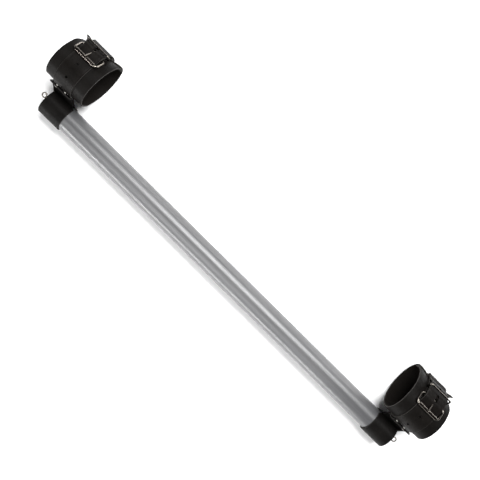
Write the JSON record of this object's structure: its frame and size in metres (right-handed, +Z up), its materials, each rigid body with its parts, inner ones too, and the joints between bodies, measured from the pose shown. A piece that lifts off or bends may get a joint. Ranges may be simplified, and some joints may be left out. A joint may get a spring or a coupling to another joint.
{
  "type": "rigid bar with two leather cuffs",
  "caption": "Rigid frosted tube with a swivelling leather collar on each end, each carrying a wide buckled leather cuff, and a small metal eye in each outer end.",
  "frame": {"origin": "on the ground under the middle of the whole object, as it lies with both cuffs beside the bar", "axes": "+X along the bar, +Y from the bar towards the cuffs, +Z up"},
  "size_m": [0.784, 0.1372, 0.0959],
  "materials": {
    "tube": "frosted translucent acrylic",
    "end_plug": "turned hardwood",
    "collar": "smooth black leather",
    "collar_cap": "smooth black leather",
    "cuff_band": "smooth black leather",
    "chape_strap": "smooth black bridle leather",
    "billet_strap": "smooth black bridle leather",
    "eye_washer": "polished nickel",
    "screw_eye": "polished nickel",
    "neck_washers": "polished nickel",
    "neck_rivets": "polished nickel",
    "chape_rivets": "polished nickel",
    "buckle_frame": "polished nickel",
    "buckle_roller": "polished nickel",
    "buckle_prong": "polished nickel",
    "strap_keeper": "polished nickel"
  },
  "bodies": {
    "bar": {"tube": "tube", "end_plug_left": "end_plug", "end_plug_right": "end_plug", "eye_washer_left": "eye_washer", "eye_washer_right": "eye_washer", "screw_eye_left": "screw_eye", "screw_eye_right": "screw_eye"},
    "cuff_left": {"collar_left": "collar", "collar_cap_left": "collar_cap", "cuff_band_left": "cuff_band", "chape_strap_left": "chape_strap", "billet_strap_left": "billet_strap", "neck_washers_left": "neck_washers", "neck_rivets_left": "neck_rivets", "chape_rivets_left": "chape_rivets"},
    "frame_left": {"buckle_frame_left": "buckle_frame"},
    "roller_left": {"buckle_roller_left": "buckle_roller"},
    "prong_left": {"buckle_prong_left": "buckle_prong"},
    "keeper_left": {"strap_keeper_left": "strap_keeper"},
    "cuff_right": {"collar_right": "collar", "collar_cap_right": "collar_cap", "cuff_band_right": "cuff_band", "chape_strap_right": "chape_strap", "billet_strap_right": "billet_strap", "neck_washers_right": "neck_washers", "neck_rivets_right": "neck_rivets", "chape_rivets_right": "chape_rivets"},
    "frame_right": {"buckle_frame_right": "buckle_frame"},
    "roller_right": {"buckle_roller_right": "buckle_roller"},
    "prong_right": {"buckle_prong_right": "buckle_prong"},
    "keeper_right": {"strap_keeper_right": "strap_keeper"}
  },
  "joints": [
    {"name": "swivel_left", "type": "hinge", "parent": "bar", "child": "cuff_left", "pos_m": [-0.35, -0.04728, 0.0213], "axis": [1, 0, 0], "continuous": true},
    {"name": "buckle_tilt_left", "type": "hinge", "parent": "cuff_left", "child": "frame_left", "pos_m": [-0.3575, 0.05094, 0.0722], "axis": [-1, 0, 0], "range_deg": [0, 20]},
    {"name": "roller_spin_left", "type": "hinge", "parent": "frame_left", "child": "roller_left", "pos_m": [-0.3575, 0.03753, 0.08494], "axis": [1, 0, 0], "continuous": true},
    {"name": "prong_swing_left", "type": "hinge", "parent": "frame_left", "child": "prong_left", "pos_m": [-0.3575, 0.05094, 0.0722], "axis": [-1, 0, 0], "range_deg": [0, 60]},
    {"name": "keeper_tilt_left", "type": "hinge", "parent": "cuff_left", "child": "keeper_left", "pos_m": [-0.3575, 0.05836, 0.06148], "axis": [-1, 0, 0], "range_deg": [-2, 74]},
    {"name": "swivel_right", "type": "hinge", "parent": "bar", "child": "cuff_right", "pos_m": [0.35, -0.04728, 0.0213], "axis": [1, 0, 0], "continuous": true},
    {"name": "buckle_tilt_right", "type": "hinge", "parent": "cuff_right", "child": "frame_right", "pos_m": [0.3575, 0.03976, 0.08147], "axis": [-1, 0, 0], "range_deg": [0, 20]},
    {"name": "roller_spin_right", "type": "hinge", "parent": "frame_right", "child": "roller_right", "pos_m": [0.3575, 0.02335, 0.09001], "axis": [1, 0, 0], "continuous": true},
    {"name": "prong_swing_right", "type": "hinge", "parent": "frame_right", "child": "prong_right", "pos_m": [0.3575, 0.03976, 0.08147], "axis": [-1, 0, 0], "range_deg": [0, 60]},
    {"name": "keeper_tilt_right", "type": "hinge", "parent": "cuff_right", "child": "keeper_right", "pos_m": [0.3575, 0.04961, 0.07318], "axis": [-1, 0, 0], "range_deg": [-44, 32]}
  ]
}
